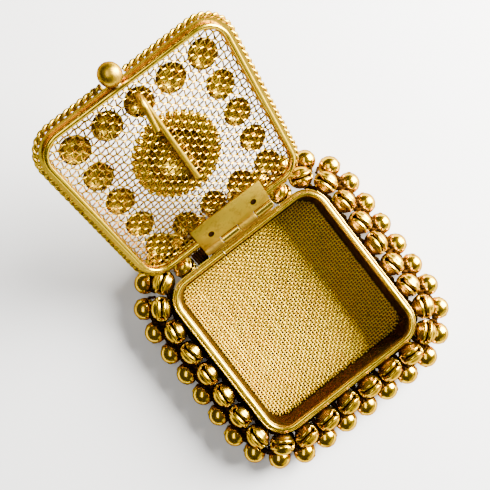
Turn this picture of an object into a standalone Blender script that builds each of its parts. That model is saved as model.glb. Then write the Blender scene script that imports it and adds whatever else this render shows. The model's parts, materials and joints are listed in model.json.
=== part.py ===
"""Square brass trinket box: mesh floor, butt-hinged mesh lid with domed bosses, strings of jingle bells.

Frame: origin on the surface it stands on, under the middle of the box. +X runs along the hinge,
+Y points to the hinge side, +Z is up. The lid is designed closed and then swung open about its hinge.
"""
import math

import bmesh
import bpy
from mathutils import Matrix, Vector

MM = 0.001
GAP = 0.3 * MM                       # solder line left between pieces that touch

# Box
RIM_SIDE = 55.0 * MM                 # across the rim, wire centre to wire centre
RIM_CORNER = 6.5 * MM                # corner radius on the same line
RIM_WIRE = 0.75 * MM                 # radius of the round wire
RIM_Z = 15.0 * MM                    # height of the rim wire's centre
WALL = 0.8 * MM
PLATE = 0.6 * MM
PLATE_LIP = 0.4 * MM                 # how far the bottom plate stands out past the wall
MESH = 0.4 * MM                      # thickness of a woven panel
LEDGE = 1.3 * MM                     # width of the flat strip under the rim wire
LEDGE_THICK = 0.5 * MM

# Hinge: a 25.4 mm brass butt hinge with four knuckles
HINGE_LENGTH = 25.4 * MM
HINGE_X = 1.9 * MM                   # the hinge sits a little to the right of the middle
KNUCKLES = 4
BARREL = 1.35 * MM
PIN = 0.45 * MM
PIN_PLAY = 0.07 * MM
LEAF_WIDTH = 10.0 * MM
LEAF_THICK = 0.5 * MM
LEAF_HOLE = 1.0 * MM
LEAF_HOLE_SPACING = 15.8 * MM
LEAF_HOLE_REACH = 4.85 * MM          # from the pin's centre
AXIS_BEHIND_RIM = 3.35 * MM
OPEN_ANGLE = math.radians(136.9)

# Bells
BELL = 3.55 * MM
UPPER_STRETCH = 1.10                 # upper bells are longer along the row
BELL_PITCH = 8.25 * MM
STRING_CORD = 1.1 * MM               # twisted wires that a row of bells is bound to
UPPER_OUT = 5.6 * MM                 # bell centres, outwards from the rim wire
UPPER_Z = RIM_Z - 3.65 * MM
LOWER_OUT = 11.7 * MM
LOWER_Z = RIM_Z - 10.1 * MM
LOWER_COUNT = 34
BELL_GRIP = 2.9 * MM                 # from a bell's centre to its cord, towards the other row
HINGE_BELL_TUCK = 1.6 * MM           # the two bells beside the hinge sit closer in ...
HINGE_BELL_DROP = 0.7 * MM           # ... and lower, under the open lid
BINDING = 1.3 * MM                   # twisted binding that carries the upper bells from below
BINDING_OUT = 3.0 * MM
BINDING_BELOW_BELLS = 4.45 * MM
BINDING_PAST_CORNER = 0.6            # share of each rear corner that it reaches round

# Lid, at its closed height
ROPE = 0.9 * MM
ROPE_OUT = 2.25 * MM                 # rope centre, outwards from the lid frame's centre
LID_LEDGE_OUT = 1.1 * MM
LID_LEDGE_IN = 0.8 * MM
LID_LEDGE_THICK = 0.4 * MM
BOSS = 4.2 * MM
BOSS_HEIGHT = 2.4 * MM
BOSS_PITCH = 10.1 * MM
BOSSES_PER_SIDE = 5
SHELL = 0.4 * MM
DOME = 8.6 * MM
DOME_HEIGHT = 5.5 * MM
COLLAR = 11.35 * MM                  # middle radius of the collar round the dome
COLLAR_WIDTH = 2.0 * MM              # half its radial width
COLLAR_HEIGHT = 1.1 * MM             # half its height
KNOB = 3.1 * MM
KNOB_X = -1.95 * MM
KNOB_OUT = 4.2 * MM                  # knob centre, outwards from the lid frame's centre
CLIP_WIRE = 0.8 * MM
CLIP_BEND = 2.35 * MM
CLIP_BACK = 7.9 * MM                 # y of the long limb's tail
CLIP_FRONT = -20.9 * MM              # y where the bend starts
CLIP_TIP = -14.6 * MM                # y of the short limb's tip
CLIP_X = 0.9 * MM
CLIP_BEAD = 1.1 * MM
CLIP_BEAD_X = -2.3 * MM

ROW_SLOPE = Vector((LOWER_OUT - UPPER_OUT, LOWER_Z - UPPER_Z))
HALF = RIM_SIDE / 2
CORNER_CENTRE = HALF - RIM_CORNER
AXIS_Y = HALF + AXIS_BEHIND_RIM
LEAF_BOTTOM = RIM_Z + RIM_WIRE + GAP
AXIS_Z = LEAF_BOTTOM + LEAF_THICK / 2
LID_Z = LEAF_BOTTOM + LEAF_THICK + GAP + RIM_WIRE
LID_LEDGE_Z = LID_Z + RIM_WIRE + GAP
LID_MESH_Z = LID_LEDGE_Z + LID_LEDGE_THICK + GAP
LID_TOP = LID_MESH_Z + MESH + GAP    # where the bosses and the dome stand
ROPE_Z = LID_MESH_Z + MESH * 0.6

ARC_STEPS = 5
WIRE_SIDES = 8


def clear_scene():
    for obj in list(bpy.data.objects):
        bpy.data.objects.remove(obj, do_unlink=True)


def material(name, colour, roughness):
    mat = bpy.data.materials.new(name)
    mat.use_nodes = True
    shader = mat.node_tree.nodes["Principled BSDF"]
    shader.inputs["Base Color"].default_value = (*colour, 1.0)
    shader.inputs["Roughness"].default_value = roughness
    shader.inputs["Metallic"].default_value = 1.0
    return mat


def add_object(name, data, mat):
    obj = bpy.data.objects.new(name, data)
    bpy.context.scene.collection.objects.link(obj)
    data.materials.append(mat)
    return obj


def mesh_object(name, bm, mat, smooth=False):
    bmesh.ops.recalc_face_normals(bm, faces=bm.faces)
    mesh = bpy.data.meshes.new(name)
    bm.to_mesh(mesh)
    bm.free()
    if smooth:
        mesh.shade_smooth()
        mesh.set_sharp_from_angle(angle=math.radians(50))
    return add_object(name, mesh, mat)


def corner_loop(out, z):
    """Rounded square, counterclockwise from the front side, `out` beyond the rim line."""
    points = []
    for turn in range(4):
        middle = math.radians(-45 + 90 * turn)
        cx = math.copysign(CORNER_CENTRE, math.cos(middle))
        cy = math.copysign(CORNER_CENTRE, math.sin(middle))
        for step in range(ARC_STEPS + 1):
            angle = math.radians(-90 + 90 * turn + 90 * step / ARC_STEPS)
            radius = RIM_CORNER + out
            points.append(Vector((cx + radius * math.cos(angle), cy + radius * math.sin(angle), z)))
    return points


def row_point(distance, out):
    """Point and outward normal on the loop `out` beyond the rim line, `distance` from the front's middle."""
    radius = RIM_CORNER + out
    quarter = radius * math.pi / 2
    side = 2 * CORNER_CENTRE
    travel = (distance + CORNER_CENTRE) % (4 * (side + quarter))
    turn = int(travel // (side + quarter))
    travel -= turn * (side + quarter)
    spin = Matrix.Rotation(math.radians(90 * turn), 3, "Z")
    if travel <= side:
        point = Vector((travel - CORNER_CENTRE, -HALF - out, 0))
        normal = Vector((0, -1, 0))
    else:
        angle = (travel - side) / radius - math.pi / 2
        normal = Vector((math.cos(angle), math.sin(angle), 0))
        point = Vector((CORNER_CENTRE, -CORNER_CENTRE, 0)) + normal * radius
    return spin @ point, spin @ normal


def slab(name, out, z, thick, mat):
    """Flat plate with the box's rounded outline."""
    bm = bmesh.new()
    face = bm.faces.new([bm.verts.new(p) for p in corner_loop(out, z)])
    top = bmesh.ops.extrude_face_region(bm, geom=[face])
    moved = [v for v in top["geom"] if isinstance(v, bmesh.types.BMVert)]
    bmesh.ops.translate(bm, verts=moved, vec=(0, 0, thick))
    return mesh_object(name, bm, mat)


def band(name, out, z, height, width, mat):
    """Ring with the box's outline: `out` is its outer face, `width` its thickness inwards."""
    bm = bmesh.new()
    loops = [
        [bm.verts.new(p) for p in corner_loop(face_out, face_z)]
        for face_out, face_z in ((out, z), (out, z + height), (out - width, z + height), (out - width, z))
    ]
    count = len(loops[0])
    for index, loop in enumerate(loops):
        following = loops[(index + 1) % len(loops)]
        for i in range(count):
            j = (i + 1) % count
            bm.faces.new((loop[i], loop[j], following[j], following[i]))
    return mesh_object(name, bm, mat)


def wire(name, points, radius, mat, closed=True):
    """Round wire as a bevelled curve."""
    curve = bpy.data.curves.new(name, "CURVE")
    curve.dimensions = "3D"
    curve.bevel_depth = radius
    curve.bevel_resolution = WIRE_SIDES // 4
    curve.use_fill_caps = True
    spline = curve.splines.new("POLY")
    spline.points.add(len(points) - 1)
    for slot, point in zip(spline.points, points):
        slot.co = (*point, 1.0)
    spline.use_cyclic_u = closed
    return add_object(name, curve, mat)


def turned(name, profile, steps, centre, mat):
    """Closed solid turned about a vertical axis from (radius, height) points that start and end on it."""
    bm = bmesh.new()
    verts = [bm.verts.new((r, 0, z)) for r, z in profile]
    edges = [bm.edges.new(pair) for pair in zip(verts, verts[1:])]
    bmesh.ops.spin(
        bm, geom=verts + edges, cent=(0, 0, 0), axis=(0, 0, 1), angle=math.tau, steps=steps, use_merge=True
    )
    bmesh.ops.remove_doubles(bm, verts=bm.verts, dist=MM / 1000)
    bmesh.ops.translate(bm, verts=bm.verts, vec=centre)
    return mesh_object(name, bm, mat, smooth=True)


def dome_profile(radius, height, thick, steps):
    """Spherical cap shell, open at its base, which stands at height 0."""
    sphere = (radius * radius + height * height) / (2 * height)
    rim_angle = math.asin(radius / sphere)
    profile = []
    for r, direction in ((sphere, 1), (sphere - thick, -1)):
        for step in range(steps + 1):
            part = step if direction > 0 else steps - step
            angle = rim_angle * part / steps
            profile.append((r * math.sin(angle), max(0.0, r * math.cos(angle) - sphere + height)))
    profile[0] = (0.0, height)
    profile[-1] = (0.0, height - thick)
    return profile


def tube_mesh(bm, centres, normals, radius, sides):
    """Capped tube through `centres`; `normals` are horizontal and perpendicular to the run."""
    rings = []
    for centre, normal in zip(centres, normals):
        ring = []
        for side in range(sides):
            angle = math.tau * side / sides
            offset = normal * math.cos(angle) + Vector((0, 0, 1)) * math.sin(angle)
            ring.append(bm.verts.new(centre + offset * radius))
        rings.append(ring)
    for ring, following in zip(rings, rings[1:]):
        for i in range(sides):
            j = (i + 1) % sides
            bm.faces.new((ring[i], ring[j], following[j], following[i]))
    bm.faces.new(rings[0])
    bm.faces.new(rings[-1])


def modifier_boolean(target, operand, operation):
    """Cut or add a helper object, which stays out of the finished assembly."""
    operand.hide_render = True
    operand.display_type = "WIRE"
    step = target.modifiers.new(operation.title(), "BOOLEAN")
    step.operation = operation
    step.object = operand
    step.solver = "EXACT"


def bell_place(distance, upper):
    """Centre of a bell, the outward normal there and the bell's stretch along the row."""
    out = UPPER_OUT if upper else LOWER_OUT
    z = UPPER_Z if upper else LOWER_Z
    stretch = UPPER_STRETCH if upper else 1.0
    point, normal = row_point(distance, out)
    beside_hinge = upper and point.y > HALF and abs(point.x) < CORNER_CENTRE
    if beside_hinge:
        point -= normal * HINGE_BELL_TUCK
        z -= HINGE_BELL_DROP
        stretch = 1.0
    return Vector((point.x, point.y, z)), normal, stretch


def bell_string(name, distances, upper, mat):
    """Bells side by side on one cord of twisted wires, as one piece."""
    towards = ROW_SLOPE.normalized() * (1 if upper else -1)
    balls = bmesh.new()
    for distance in distances:
        centre, normal, stretch = bell_place(distance, upper)
        along = Vector((-normal.y, normal.x, 0)) * stretch
        shape = Matrix((normal, along, Vector((0, 0, 1)))).transposed().to_4x4()
        place = Matrix.Translation(centre) @ shape
        bmesh.ops.create_uvsphere(balls, u_segments=8, v_segments=6, radius=BELL, matrix=place)
    ball_object = mesh_object(name + ".balls", balls, mat, smooth=True)
    stops = [distances[0]]
    for start, end in zip(distances, distances[1:]):
        stops += [(start + end) / 2, end]
    centres = []
    normals = []
    for distance in stops:
        centre, normal, _ = bell_place(distance, upper)
        centres.append(centre + (normal * towards.x + Vector((0, 0, towards.y))) * BELL_GRIP)
        normals.append(normal)
    run = bmesh.new()
    tube_mesh(run, centres, normals, STRING_CORD, 6)
    string = mesh_object(name, run, mat, smooth=True)
    modifier_boolean(string, ball_object, "UNION")
    return string


def bell_strings(mat):
    """Two rows of bells: the upper one stops at the hinge, the lower one goes right round."""
    upper = {
        "upper_bells_front": range(-4, 4),
        "upper_bells_right": range(4, 11),
        "upper_bells_left": range(-11, -4),
        "upper_bells_rear_right": range(11, 13),
        "upper_bells_rear_left": range(-13, -11),
    }
    for name, places in upper.items():
        bell_string(name, [(i + 0.5) * BELL_PITCH for i in places], True, mat)
    radius = RIM_CORNER + LOWER_OUT
    pitch = 4 * (2 * CORNER_CENTRE + radius * math.pi / 2) / LOWER_COUNT
    lower = {
        "lower_bells_front": range(-3, 4),
        "lower_bells_right": range(4, 13),
        "lower_bells_rear": range(13, 22),
        "lower_bells_left": range(22, 31),
    }
    for name, places in lower.items():
        bell_string(name, [i * pitch for i in places], False, mat)


def wall_binding(mat):
    """Binding wire round the front and sides of the wall, ending short of the bells beside the hinge."""
    corner = (RIM_CORNER + BINDING_OUT) * math.pi / 2
    reach = 3 * CORNER_CENTRE + (1 + BINDING_PAST_CORNER) * corner
    straight = 24
    points = []
    for step in range(-straight, straight + 1):
        point, _ = row_point(reach * step / straight, BINDING_OUT)
        points.append(Vector((point.x, point.y, UPPER_Z - BINDING_BELOW_BELLS)))
    return wire("wall_binding", points, BINDING, mat, closed=False)


def rod_along_x(bm, x0, x1, radius, sides):
    """Cylinder along the hinge axis."""
    place = Matrix.Translation(((x0 + x1) / 2, AXIS_Y, AXIS_Z)) @ Matrix.Rotation(math.pi / 2, 4, "Y")
    bmesh.ops.create_cone(
        bm, cap_ends=True, segments=sides, radius1=radius, radius2=radius, depth=x1 - x0, matrix=place
    )


def hinge_leaf(name, owned, to_leaf, mat):
    """Leaf with its own knuckles. `to_leaf` maps (x, reach from the pin, thickness) to the closed box."""
    length = HINGE_LENGTH / KNUCKLES
    left = HINGE_X - HINGE_LENGTH / 2
    clear = BARREL + GAP
    outline = [(left, LEAF_WIDTH)]
    for index in range(KNUCKLES):
        reach = 0.0 if index in owned else clear
        shift = GAP / 2 if index in owned else -GAP / 2
        start = left + index * length + (shift if index > 0 else 0.0)
        end = left + (index + 1) * length - (shift if index < KNUCKLES - 1 else 0.0)
        outline += [(start, reach), (end, reach)]
    outline.append((left + HINGE_LENGTH, LEAF_WIDTH))
    bm = bmesh.new()
    face = bm.faces.new([bm.verts.new(to_leaf(x, reach, 0.0)) for x, reach in outline])
    grown = bmesh.ops.extrude_face_region(bm, geom=[face])
    moved = [v for v in grown["geom"] if isinstance(v, bmesh.types.BMVert)]
    bmesh.ops.translate(bm, verts=moved, vec=to_leaf(0, 0, LEAF_THICK) - to_leaf(0, 0, 0))
    leaf = mesh_object(name, bm, mat, smooth=True)

    barrels = bmesh.new()
    for index in owned:
        start = left + index * length + (GAP / 2 if index > 0 else 0.0)
        end = left + (index + 1) * length - (GAP / 2 if index < KNUCKLES - 1 else 0.0)
        rod_along_x(barrels, start, end, BARREL, 16)
    modifier_boolean(leaf, mesh_object(name + ".barrels", barrels, mat), "UNION")

    holes = bmesh.new()
    rod_along_x(holes, left - MM, left + HINGE_LENGTH + MM, PIN + PIN_PLAY, 12)
    axis = to_leaf(0, 0, 1) - to_leaf(0, 0, 0)
    turn = axis.to_track_quat("Z", "Y").to_matrix().to_4x4()
    for side in (-1, 1):
        middle = to_leaf(HINGE_X + side * LEAF_HOLE_SPACING / 2, LEAF_HOLE_REACH, LEAF_THICK / 2)
        bmesh.ops.create_cone(
            holes, cap_ends=True, segments=12, radius1=LEAF_HOLE, radius2=LEAF_HOLE, depth=4 * LEAF_THICK,
            matrix=Matrix.Translation(middle) @ turn,
        )
    modifier_boolean(leaf, mesh_object(name + ".holes", holes, mat), "DIFFERENCE")
    return leaf


def box_leaf_point(x, reach, thick):
    """The box's leaf hangs down behind the rear wall, against the barrel's inner side."""
    return Vector((x, AXIS_Y - BARREL + thick, AXIS_Z - reach))


def lid_leaf_point(x, reach, thick):
    """The lid's leaf runs forwards, level with the pin."""
    return Vector((x, AXIS_Y - reach, LEAF_BOTTOM + thick))


def hinge_pin(mat):
    bm = bmesh.new()
    rod_along_x(bm, HINGE_X - HINGE_LENGTH / 2, HINGE_X + HINGE_LENGTH / 2, PIN, 12)
    return mesh_object("hinge_pin", bm, mat, smooth=True)


def box_parts(sheet, mesh_mat, bright):
    slab("bottom_plate", PLATE_LIP, 0.0, PLATE, sheet)
    floor_z = PLATE + GAP
    wall_top = RIM_Z - RIM_WIRE - GAP
    band("box_wall", 0.0, floor_z, wall_top - floor_z, WALL, sheet)
    slab("floor_mesh", -WALL - GAP, floor_z, MESH, mesh_mat)
    band("rim_ledge", GAP + LEDGE, wall_top - LEDGE_THICK - GAP / 2, LEDGE_THICK, LEDGE, sheet)
    wire("rim_wire", corner_loop(0.0, RIM_Z), RIM_WIRE, bright)


def boss_places():
    """Centres of the bosses: five along each side of a square, corners shared."""
    reach = (BOSSES_PER_SIDE - 1) / 2
    places = []
    for turn in range(4):
        spin = Matrix.Rotation(math.radians(90 * turn), 3, "Z")
        for index in range(BOSSES_PER_SIDE - 1):
            places.append(spin @ Vector(((index - reach) * BOSS_PITCH, -reach * BOSS_PITCH, LID_TOP)))
    return places


def petal_collar(mat):
    """Ring of petals round the centre dome, as one body of rounded section."""
    around = 40
    section = 8
    bm = bmesh.new()
    rings = []
    for i in range(around):
        turn = Matrix.Rotation(math.tau * i / around, 3, "Z")
        ring = []
        for k in range(section):
            angle = math.tau * k / section
            radius = COLLAR + COLLAR_WIDTH * math.cos(angle)
            z = LID_TOP + COLLAR_HEIGHT * (1 + math.sin(angle))
            ring.append(bm.verts.new(turn @ Vector((radius, 0, z))))
        rings.append(ring)
    for i, ring in enumerate(rings):
        following = rings[(i + 1) % around]
        for k in range(section):
            m = (k + 1) % section
            bm.faces.new((ring[k], ring[m], following[m], following[k]))
    return mesh_object("petal_collar", bm, mat, smooth=True)


def rope_border(mat):
    """Rope round the lid; its two ends meet behind the knob."""
    front = -HALF - ROPE_OUT
    clear = KNOB + GAP
    start = Vector((KNOB_X + clear, front, ROPE_Z))
    end = Vector((KNOB_X - clear, front, ROPE_Z))
    return wire("rope_border", [start] + corner_loop(ROPE_OUT, ROPE_Z) + [end], ROPE, mat, closed=False)


def knob_ball(mat):
    bm = bmesh.new()
    place = Matrix.Translation((KNOB_X, -HALF - KNOB_OUT, LID_Z))
    bmesh.ops.create_uvsphere(bm, u_segments=16, v_segments=10, radius=KNOB, matrix=place)
    return mesh_object("knob_ball", bm, mat, smooth=True)


def inner_clip(mat):
    """Hairpin clip under the lid mesh: a long limb along the mesh, a bend and a short free limb."""
    upper_z = LID_MESH_Z - GAP - CLIP_WIRE
    points = [Vector((CLIP_X, CLIP_BACK, upper_z))]
    steps = 8
    for step in range(steps + 1):
        angle = math.pi * step / steps
        y = CLIP_FRONT - CLIP_BEND * math.sin(angle)
        z = upper_z - CLIP_BEND * (1 - math.cos(angle))
        points.append(Vector((CLIP_X * (1 - step / steps), y, z)))
    points.append(Vector((-CLIP_X, CLIP_TIP, points[-1].z - CLIP_WIRE / 4)))
    return wire("inner_clip", points, CLIP_WIRE, mat, closed=False)


def clip_bead(mat):
    """Bead soldered beside the clip's bend."""
    bm = bmesh.new()
    centre = Vector((CLIP_BEAD_X, CLIP_FRONT, LID_MESH_Z - GAP - CLIP_BEAD))
    bmesh.ops.create_uvsphere(
        bm, u_segments=10, v_segments=6, radius=CLIP_BEAD, matrix=Matrix.Translation(centre)
    )
    return mesh_object("clip_bead", bm, mat, smooth=True)


def lid_parts(sheet, mesh_mat, bright, leaf_mat):
    """Everything that swings, built at its closed place."""
    parts = [
        wire("lid_frame_wire", corner_loop(0.0, LID_Z), RIM_WIRE, bright),
        band("lid_ledge", LID_LEDGE_OUT, LID_LEDGE_Z, LID_LEDGE_THICK, LID_LEDGE_OUT + LID_LEDGE_IN, sheet),
        slab("lid_mesh", -GAP, LID_MESH_Z, MESH, mesh_mat),
        rope_border(bright),
        turned("centre_dome", dome_profile(DOME, DOME_HEIGHT, SHELL, 5), 24, Vector((0, 0, LID_TOP)), sheet),
        petal_collar(sheet),
        knob_ball(bright),
        inner_clip(bright),
        clip_bead(bright),
        hinge_leaf("lid_hinge_leaf", (0, 2), lid_leaf_point, leaf_mat),
    ]
    profile = dome_profile(BOSS, BOSS_HEIGHT, SHELL, 2)
    for number, place in enumerate(boss_places(), start=1):
        parts.append(turned(f"cup_boss_{number:02d}", profile, 12, place, sheet))
    return parts


def helpers_of(part):
    return [step.object for step in part.modifiers if step.type == "BOOLEAN"]


def swing_open(parts):
    """Hang the lid's parts, and the helpers that shape them, on the hinge axis and open it."""
    hinge = bpy.data.objects.new("lid_hinge_axis", None)
    bpy.context.scene.collection.objects.link(hinge)
    hinge.location = (0, AXIS_Y, AXIS_Z)
    for part in parts:
        for piece in [part] + helpers_of(part):
            piece.parent = hinge
            piece.matrix_parent_inverse = Matrix.Translation((0, -AXIS_Y, -AXIS_Z))
    hinge.rotation_euler = (-OPEN_ANGLE, 0, 0)


def build():
    clear_scene()
    sheet = material("brass_sheet", (0.62, 0.40, 0.12), 0.32)
    mesh_mat = material("brass_mesh", (0.55, 0.38, 0.16), 0.40)
    bright = material("brass_bright", (0.80, 0.56, 0.20), 0.20)
    bell_mat = material("brass_bell", (0.74, 0.48, 0.13), 0.18)
    leaf_mat = material("brass_leaf", (0.60, 0.44, 0.15), 0.45)
    box_parts(sheet, mesh_mat, bright)
    bell_strings(bell_mat)
    wall_binding(bell_mat)
    hinge_leaf("box_hinge_leaf", (1, 3), box_leaf_point, leaf_mat)
    hinge_pin(leaf_mat)
    swing_open(lid_parts(sheet, mesh_mat, bright, leaf_mat))


build()
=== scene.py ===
"""Looks for the square brass trinket box: woven wire cloth, slotted bells, twisted rope and worn brass.

The lid's pieces are shaped at the closed lid and swung open about the hinge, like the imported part's.
"""
import json
import math
import random
from dataclasses import dataclass

import bpy
from mathutils import Matrix, Vector


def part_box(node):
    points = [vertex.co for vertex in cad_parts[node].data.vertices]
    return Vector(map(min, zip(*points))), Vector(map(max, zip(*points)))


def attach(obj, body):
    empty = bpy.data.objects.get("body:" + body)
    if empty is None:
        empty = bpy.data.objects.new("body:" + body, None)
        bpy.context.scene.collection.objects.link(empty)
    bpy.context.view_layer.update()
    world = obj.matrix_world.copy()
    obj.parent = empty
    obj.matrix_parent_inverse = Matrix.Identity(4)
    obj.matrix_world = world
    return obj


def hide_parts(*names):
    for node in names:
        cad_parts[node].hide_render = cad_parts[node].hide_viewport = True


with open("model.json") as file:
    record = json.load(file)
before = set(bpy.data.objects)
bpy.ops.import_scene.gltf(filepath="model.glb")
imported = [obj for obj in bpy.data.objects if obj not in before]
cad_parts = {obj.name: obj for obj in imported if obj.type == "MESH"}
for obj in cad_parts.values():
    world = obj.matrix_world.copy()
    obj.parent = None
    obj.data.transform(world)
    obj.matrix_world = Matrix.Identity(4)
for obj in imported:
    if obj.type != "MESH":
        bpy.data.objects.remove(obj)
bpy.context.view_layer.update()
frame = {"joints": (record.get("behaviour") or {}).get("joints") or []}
random.seed(7)

MM = 0.001

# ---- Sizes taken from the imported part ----
rim_low, rim_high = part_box("rim_wire")
RIM_WIRE = (rim_high.z - rim_low.z) / 2
RIM_Z = (rim_high.z + rim_low.z) / 2
HALF = rim_high.x - RIM_WIRE
floor_low, floor_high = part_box("floor_mesh")
wall_low, wall_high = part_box("box_wall")
plate_low, plate_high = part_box("bottom_plate")
ledge_low, ledge_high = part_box("rim_ledge")
pin_low, pin_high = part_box("hinge_pin")
HINGE_X = (pin_low.x + pin_high.x) / 2
HINGE_LENGTH = pin_high.x - pin_low.x
HINGE = next(j for j in frame["joints"] if j["name"] == "lid_hinge")
AXIS_Y = HINGE["pos_m"][1]
AXIS_Z = HINGE["pos_m"][2]
OPEN_ANGLE = math.radians(HINGE["range_deg"][1])
OPEN_LID = (
    Matrix.Translation((0, AXIS_Y, AXIS_Z))
    @ Matrix.Rotation(-OPEN_ANGLE, 4, "X")
    @ Matrix.Translation((0, -AXIS_Y, -AXIS_Z))
)

# ---- Sizes repeated from the part ----
# Wires, shells and balls differ from the part's by up to 0.05 mm, and the lid's ledge is 0.6 mm wider.
GAP = 0.3 * MM                       # solder line between pieces that touch
CORNER = 6.5 * MM                    # corner radius of the rim line
CORNER_CENTRE = HALF - CORNER
WALL = 0.8 * MM
LEAF_THICK = 0.5 * MM
LEAF_WIDTH = 10.0 * MM
BARREL = 1.35 * MM
PIN = 0.45 * MM
KNUCKLES = 4
LEAF_HOLE = 1.0 * MM
LEAF_HOLE_SPACING = 15.8 * MM
LEAF_HOLE_REACH = 4.85 * MM          # from the pin's centre
BELL = 3.53 * MM
BELL_PITCH = 8.25 * MM
STRING_CORD = 1.05 * MM
UPPER_OUT = 5.6 * MM
UPPER_Z = RIM_Z - 3.65 * MM
LOWER_OUT = 11.7 * MM
LOWER_Z = RIM_Z - 10.1 * MM
LOWER_COUNT = 34
BELL_GRIP = 2.9 * MM                 # from a bell's centre to its cord
HINGE_BELL_TUCK = 1.6 * MM           # the bells beside the hinge sit closer in and lower
HINGE_BELL_DROP = 0.7 * MM
ROW_SLOPE = Vector((LOWER_OUT - UPPER_OUT, LOWER_Z - UPPER_Z))
LEAF_BOTTOM = AXIS_Z - LEAF_THICK / 2
LID_Z = LEAF_BOTTOM + LEAF_THICK + GAP + RIM_WIRE
LID_LEDGE_Z = LID_Z + RIM_WIRE + GAP
LID_LEDGE_THICK = 0.4 * MM
LID_LEDGE_OUT = 1.7 * MM
LID_LEDGE_IN = 0.8 * MM
LID_MESH_Z = LID_LEDGE_Z + LID_LEDGE_THICK + GAP
LID_MESH_THICK = 0.4 * MM
LID_TOP = LID_MESH_Z + LID_MESH_THICK + GAP
ROPE_OUT = 2.25 * MM
ROPE_Z = LID_MESH_Z + LID_MESH_THICK * 0.6
BOSS = 4.2 * MM
BOSS_HEIGHT = 2.4 * MM
BOSS_PITCH = 10.1 * MM
BOSSES_PER_SIDE = 5
DOME = 8.6 * MM
DOME_HEIGHT = 5.5 * MM
SHELL = 0.35 * MM
COLLAR = 11.35 * MM                  # its middle radius
COLLAR_WIDTH = 1.95 * MM             # half its radial width
COLLAR_HEIGHT = 1.05 * MM            # half its height
KNOB = 3.08 * MM
KNOB_X = -1.95 * MM
KNOB_OUT = 4.2 * MM
CLIP_WIRE = 0.84 * MM
CLIP_BEND = 2.35 * MM
CLIP_BACK = 7.9 * MM
CLIP_FRONT = -20.9 * MM
CLIP_TIP = -14.6 * MM
CLIP_X = 0.9 * MM
CLIP_BEAD = 1.08 * MM
CLIP_BEAD_X = -2.3 * MM

# ---- Sizes that only the looks need ----
ROPE_STRAND = 0.47 * MM
ROPE_SWING = 0.42 * MM               # from the rope's middle to each strand's
ROPE_TWIST = 4.1 * MM                # length of one turn
PETALS = 36
RAGGED = 0.08 * MM                   # how unevenly the cloths' wires are cut

UP = Vector((0, 0, 1))


# ---- Materials ----
class Graph:
    """A material and short forms for its nodes."""

    def __init__(self, name, metallic):
        self.mat = bpy.data.materials.new(name)
        self.mat.use_nodes = True
        self.tree = self.mat.node_tree
        self.shader = self.tree.nodes["Principled BSDF"]
        self.shader.inputs["Metallic"].default_value = metallic
        self.coords = self.add("ShaderNodeTexCoord").outputs["Object"]

    def add(self, kind, **settings):
        node = self.tree.nodes.new(kind)
        for key, value in settings.items():
            setattr(node, key, value)
        return node

    def link(self, out, into):
        self.tree.links.new(out, into)

    def noise(self, scale, detail, roughness=0.55, stretch=(1, 1, 1)):
        mapping = self.add("ShaderNodeMapping")
        mapping.inputs["Scale"].default_value = stretch
        self.link(self.coords, mapping.inputs["Vector"])
        node = self.add("ShaderNodeTexNoise")
        node.inputs["Scale"].default_value = scale
        node.inputs["Detail"].default_value = detail
        node.inputs["Roughness"].default_value = roughness
        self.link(mapping.outputs["Vector"], node.inputs["Vector"])
        return node.outputs["Fac"]

    def remap(self, value, low_in, high_in, low_out, high_out):
        """Spreads one range of values over another, and clips what lies beyond it."""
        node = self.add("ShaderNodeMapRange")
        node.inputs["From Min"].default_value = low_in
        node.inputs["From Max"].default_value = high_in
        node.inputs["To Min"].default_value = low_out
        node.inputs["To Max"].default_value = high_out
        self.link(value, node.inputs["Value"])
        return node.outputs["Result"]

    def blend(self, share, first, second):
        """Mix of two colours, each a socket or an (r, g, b)."""
        node = self.add("ShaderNodeMix", data_type="RGBA")
        self.link(share, node.inputs[0])
        for value, socket in ((first, node.inputs[6]), (second, node.inputs[7])):
            if isinstance(value, tuple):
                socket.default_value = (*value, 1.0)
            else:
                self.link(value, socket)
        return node.outputs[2]

    def maths(self, operation, first, second):
        node = self.add("ShaderNodeMath", operation=operation, use_clamp=True)
        for value, socket in zip((first, second), node.inputs):
            if isinstance(value, (int, float)):
                socket.default_value = value
            else:
                self.link(value, socket)
        return node.outputs[0]

    def bump(self, height, strength, distance, under=None):
        node = self.add("ShaderNodeBump")
        node.inputs["Strength"].default_value = strength
        node.inputs["Distance"].default_value = distance
        self.link(height, node.inputs["Height"])
        if under is not None:
            self.link(under, node.inputs["Normal"])
        return node.outputs["Normal"]


EDGE_TINT = (0.14, 0.065, 0.01)      # at grazing angles: dark, so that round edges stay brown
WARM_SHIFT = (1.0, 0.92, 0.70)       # second tone of each brass, as a share of its first
TONE_SCALE = 160                     # noise scales, to the metre
WAVE_SCALE = 330
TARNISH_SCALE = 420
SCRATCH_SCALE = 2600
TARNISH_ROUGHER = 0.22               # roughness that full tarnish adds


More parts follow.
